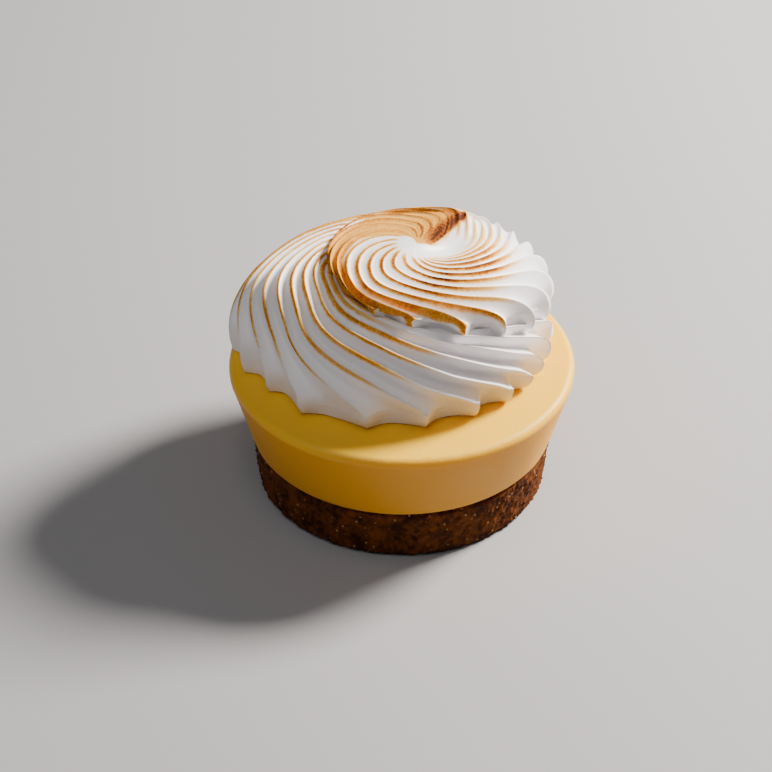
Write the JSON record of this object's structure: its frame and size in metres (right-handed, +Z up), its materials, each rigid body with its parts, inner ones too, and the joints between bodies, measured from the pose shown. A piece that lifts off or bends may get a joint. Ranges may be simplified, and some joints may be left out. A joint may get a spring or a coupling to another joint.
{
  "type": "lemon meringue pie",
  "caption": "Single-portion round pie: a biscuit crumb disc, a lemon filling that widens upwards and a torched, piped meringue swirl on top.",
  "frame": {"origin": "centre of the pie's footprint, on its underside", "axes": "+Z up, +X to the right and +Y to the back as the pie is served, with the meringue's peak towards the back right"},
  "size_m": [0.08, 0.08, 0.0606],
  "materials": {
    "crumb": "coarse dark brown biscuit crumb, dull",
    "lemon": "smooth set lemon cream, soft shine, slightly translucent",
    "meringue": "satin white with torched brown crests"
  },
  "bodies": {
    "root": {"crumb_base": "crumb", "lemon_filling": "lemon", "meringue": "meringue"}
  },
  "joints": []
}
